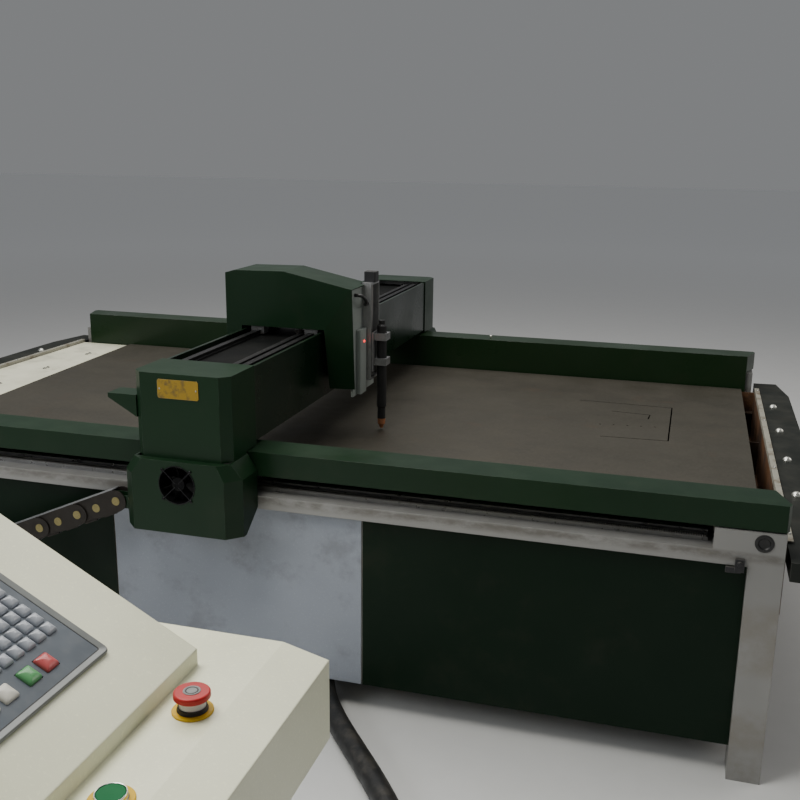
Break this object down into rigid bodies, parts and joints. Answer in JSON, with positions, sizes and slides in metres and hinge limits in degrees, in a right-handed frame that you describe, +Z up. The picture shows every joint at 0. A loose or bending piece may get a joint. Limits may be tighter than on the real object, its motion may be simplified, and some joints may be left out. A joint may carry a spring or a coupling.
{
  "type": "cnc plasma cutter",
  "caption": "Plasma cutting table with a slatted bed, moving gantry, torch lift, cable chain and operator console",
  "frame": {"origin": "on the floor under the middle of the bed, at the centre of the anchor bolt pattern", "axes": "+X along the table, +Y across it away from the console, +Z up"},
  "size_m": [3.582, 4.365, 1.6035],
  "materials": {
    "white_paint": "satin paint on steel",
    "green_paint": "gloss paint on steel",
    "cream_paint": "satin paint on steel",
    "black_paint": "satin paint on steel",
    "grey_paint": "satin paint on steel",
    "yellow_paint": "satin paint on steel",
    "raw_steel": "bare steel",
    "mill_steel": "hot rolled steel with scale",
    "steel_balls": "polished balls",
    "motor_black": "black coated motors",
    "aluminium": "machined aluminium",
    "chain_steel": "plated chain links",
    "copper_nozzle": "copper and brass",
    "black_rubber": "flexible hose",
    "black_plastic": "moulded plastic",
    "grey_plastic": "keypad plate",
    "silver_plastic": "key caps",
    "red_plastic": "red caps",
    "green_plastic": "green caps",
    "yellow_plastic": "yellow collar",
    "screen_glass": "screen"
  },
  "bodies": {
    "table": {"near_side_frame": "white_paint", "far_side_frame": "white_paint", "cross_members": "white_paint", "white_panel": "white_paint", "green_panels": "green_paint", "slag_tray": "black_paint", "slat_supports": "mill_steel", "slats": "mill_steel", "left_deck": "cream_paint", "steel_plate": "mill_steel", "near_cover": "green_paint", "far_cover": "green_paint", "end_strips": "black_paint", "transfer_balls": "steel_balls", "x_guides": "raw_steel", "chain_tray": "grey_paint", "chain_lower_run": "chain_steel", "conduit": "black_rubber", "junction_box": "grey_paint", "console_pedestal": "cream_paint", "console_desk": "cream_paint", "keypad_panel": "grey_plastic", "keypad_keys": "silver_plastic", "monitor_case": "cream_paint", "screen": "screen_glass", "estop_collar": "yellow_plastic", "start_collar": "aluminium"},
    "gantry": {"beam": "black_paint", "beam_covers": "green_paint", "end_plates": "raw_steel", "near_upper_housing": "green_paint", "near_lower_housing": "green_paint", "far_end_housing": "green_paint", "x_guide_blocks": "raw_steel", "x_motors": "motor_black", "y_guides": "raw_steel", "plaque": "yellow_paint", "fan_guard": "black_plastic", "fan_frame": "black_plastic", "chain_upper_run": "chain_steel"},
    "carriage": {"carriage_plate": "raw_steel", "y_guide_blocks": "raw_steel", "carriage_motors": "motor_black", "hood": "green_paint", "lift_mount_plate": "grey_paint", "lift_housing": "aluminium", "height_box": "grey_paint", "torch_hose": "black_rubber"},
    "torch": {"torch_slide": "aluminium", "torch_body": "black_plastic", "nozzle": "copper_nozzle"},
    "fan": {"fan_rotor": "black_plastic"},
    "near_pinion_shaft": {"near_pinion": "raw_steel"},
    "far_pinion_shaft": {"far_pinion": "raw_steel"},
    "carriage_pinion_shaft": {"y_pinion": "raw_steel"},
    "lift_screw_shaft": {"lift_screw": "raw_steel"},
    "estop": {"estop_button": "red_plastic"},
    "start": {"start_button": "green_plastic"},
    "red_button_key": {"red_key": "red_plastic"},
    "green_button_key": {"green_key": "green_plastic"}
  },
  "joints": [
    {"name": "gantry_slide", "type": "slide", "parent": "table", "child": "gantry", "axis": [1, 0, 0], "range_m": [-1.3, 1.28], "deforming": ["chain_upper_run"]},
    {"name": "carriage_slide", "type": "slide", "parent": "gantry", "child": "carriage", "axis": [0, 1, 0], "range_m": [-0.55, 1.04]},
    {"name": "torch_lift", "type": "slide", "parent": "carriage", "child": "torch", "axis": [0, 0, 1], "range_m": [-0.005, 0.1]},
    {"name": "fan_spin", "type": "hinge", "parent": "gantry", "child": "fan", "pos_m": [0.006, -1.15, 0.723], "axis": [0, 1, 0], "continuous": true},
    {"name": "near_pinion_spin", "type": "hinge", "parent": "gantry", "child": "near_pinion_shaft", "pos_m": [0.012, -1, 0.698], "axis": [0, 1, 0], "range_deg": [-3734.23, 3734.23]},
    {"name": "far_pinion_spin", "type": "hinge", "parent": "gantry", "child": "far_pinion_shaft", "pos_m": [0.012, 1, 0.698], "axis": [0, 1, 0], "range_deg": [-3734.23, 3734.23]},
    {"name": "y_pinion_spin", "type": "hinge", "parent": "carriage", "child": "carriage_pinion_shaft", "pos_m": [0.0445, -0.31, 1.02], "axis": [0, 0, 1], "range_deg": [-2989.4, 2989.4]},
    {"name": "lift_screw_spin", "type": "hinge", "parent": "carriage", "child": "lift_screw_shaft", "pos_m": [0.276, -0.215, 1], "axis": [0, 0, 1], "range_deg": [-3700, 3700]},
    {"name": "estop_press", "type": "slide", "parent": "table", "child": "estop", "axis": [0, 0, -1], "range_m": [0, 0.004], "stiffness_N_per_m": 2500},
    {"name": "start_press", "type": "slide", "parent": "table", "child": "start", "axis": [0, 0, -1], "range_m": [0, 0.003], "stiffness_N_per_m": 1500},
    {"name": "red_key_press", "type": "slide", "parent": "table", "child": "red_button_key", "axis": [-0.4741, 0, -0.8805], "range_m": [0, 0.002], "stiffness_N_per_m": 800},
    {"name": "green_key_press", "type": "slide", "parent": "table", "child": "green_button_key", "axis": [-0.4741, 0, -0.8805], "range_m": [0, 0.002], "stiffness_N_per_m": 800}
  ],
  "couplings": [
    {"joint": "near_pinion_spin", "follows": "gantry_slide", "rad_per_m": 50},
    {"joint": "far_pinion_spin", "follows": "gantry_slide", "rad_per_m": 50},
    {"joint": "y_pinion_spin", "follows": "carriage_slide", "rad_per_m": -50},
    {"joint": "lift_screw_spin", "follows": "torch_lift", "rad_per_m": 628.32}
  ]
}
